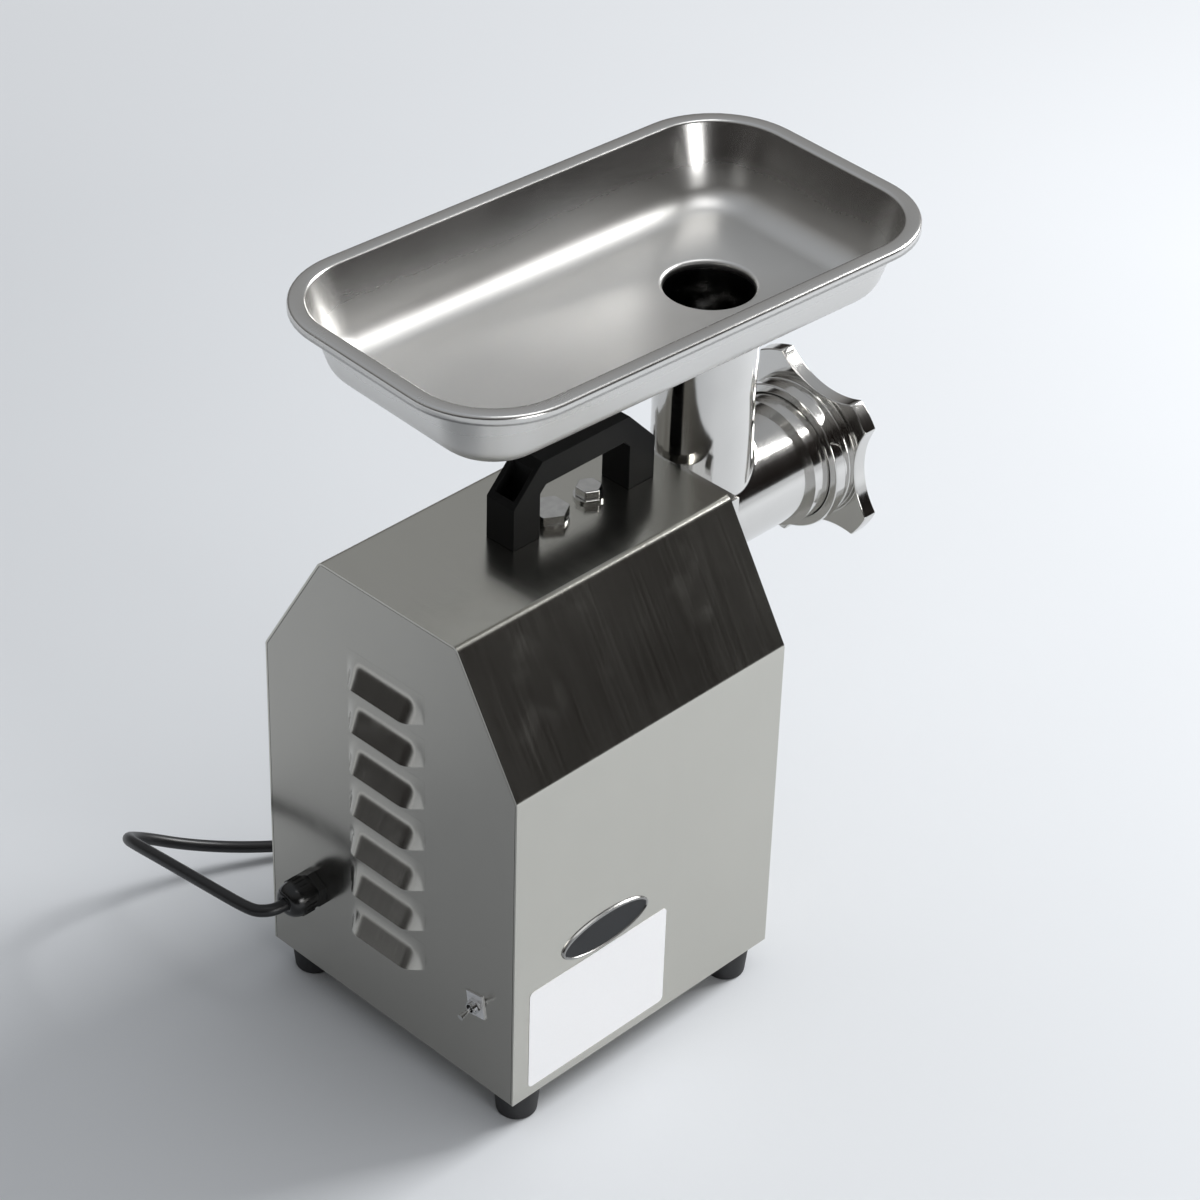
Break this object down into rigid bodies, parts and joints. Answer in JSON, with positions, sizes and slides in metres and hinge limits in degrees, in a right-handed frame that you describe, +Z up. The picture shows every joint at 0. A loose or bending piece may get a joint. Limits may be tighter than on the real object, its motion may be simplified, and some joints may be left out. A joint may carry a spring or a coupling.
{
  "type": "electric meat grinder",
  "caption": "Countertop electric meat grinder: bent stainless housing with louvres, feed tray over a throat, grinding head with lugged ring nut, carry handle and mains cord.",
  "frame": {"origin": "on the floor under the middle of the machine without its cord", "axes": "+Z up, -Y out of the grinding head, +X to the side of the cord"},
  "size_m": [0.3201, 0.3659, 0.434],
  "materials": {
    "brushed": "brushed stainless sheet",
    "polished": "polished stainless casting",
    "zinc": "plated steel",
    "rubber": "matt black rubber",
    "black_plastic": "fine-textured black plastic",
    "cord_skin": "glossy black flex",
    "cast": "cast aluminium",
    "steel": "machined steel",
    "copper": "enamelled wire"
  },
  "bodies": {
    "chassis": {"base_plate": "brushed", "cable_gland": "black_plastic", "carry_handle": "black_plastic", "cord_coil": "cord_skin", "cord_tie": "black_plastic", "cover_screws": "zinc", "foot_front_left": "rubber", "foot_front_right": "rubber", "foot_nuts": "zinc", "foot_rear_left": "rubber", "foot_rear_right": "rubber", "foot_screws": "zinc", "front_panel": "brushed", "gearbox_case": "cast", "gearbox_cover": "cast", "gland_nut": "black_plastic", "grinder_head": "polished", "grinding_plate": "polished", "handle_screws": "zinc", "head_bolts": "zinc", "lay_bearings": "steel", "motor_bearings": "steel", "motor_cradle": "steel", "motor_front_bell": "cast", "motor_rear_bell": "cast", "motor_shell": "steel", "motor_stator": "steel", "motor_windings": "copper", "oil_plug": "zinc", "output_bearings": "steel", "plate_key": "polished", "plug_body": "black_plastic", "plug_pins": "zinc", "power_cord": "cord_skin", "rear_panel": "brushed", "switch_body": "black_plastic", "switch_nut": "zinc", "switch_plate": "zinc", "top_bolt": "zinc", "top_washer": "zinc", "wrap_cover": "brushed"},
    "rotor": {"rotor_core": "steel", "motor_shaft": "steel", "motor_pinion": "steel", "motor_fan": "black_plastic"},
    "layshaft": {"lay_shaft": "steel", "lay_gear": "steel", "lay_pinion": "steel"},
    "output": {"output_shaft": "steel", "output_gear": "steel", "auger": "polished", "knife": "polished"},
    "nut": {"ring_nut": "polished"},
    "tray": {"feed_tray": "brushed"},
    "toggle": {"switch_lever": "zinc"}
  },
  "joints": [
    {"name": "motor_spin", "type": "hinge", "parent": "chassis", "child": "rotor", "pos_m": [0, 0.09, 0.172], "axis": [0, 1, 0], "continuous": true},
    {"name": "lay_spin", "type": "hinge", "parent": "chassis", "child": "layshaft", "pos_m": [0, 0, 0.2095], "axis": [0, 1, 0], "continuous": true},
    {"name": "output_spin", "type": "hinge", "parent": "chassis", "child": "output", "pos_m": [0, -0.05, 0.2545], "axis": [0, 1, 0], "continuous": true},
    {"name": "nut_turn", "type": "hinge", "parent": "chassis", "child": "nut", "pos_m": [0, -0.155, 0.2545], "axis": [0, -1, 0], "range_deg": [0, 720]},
    {"name": "tray_lift", "type": "slide", "parent": "chassis", "child": "tray", "axis": [0, 0, 1], "range_m": [0, 0.06]},
    {"name": "switch_toggle", "type": "hinge", "parent": "chassis", "child": "toggle", "pos_m": [-0.067, 0.1513, 0.074], "axis": [1, 0, 0], "range_deg": [0, 25]}
  ],
  "couplings": [
    {"joint": "lay_spin", "follows": "motor_spin", "ratio": -0.33333},
    {"joint": "output_spin", "follows": "motor_spin", "ratio": 0.12121}
  ]
}
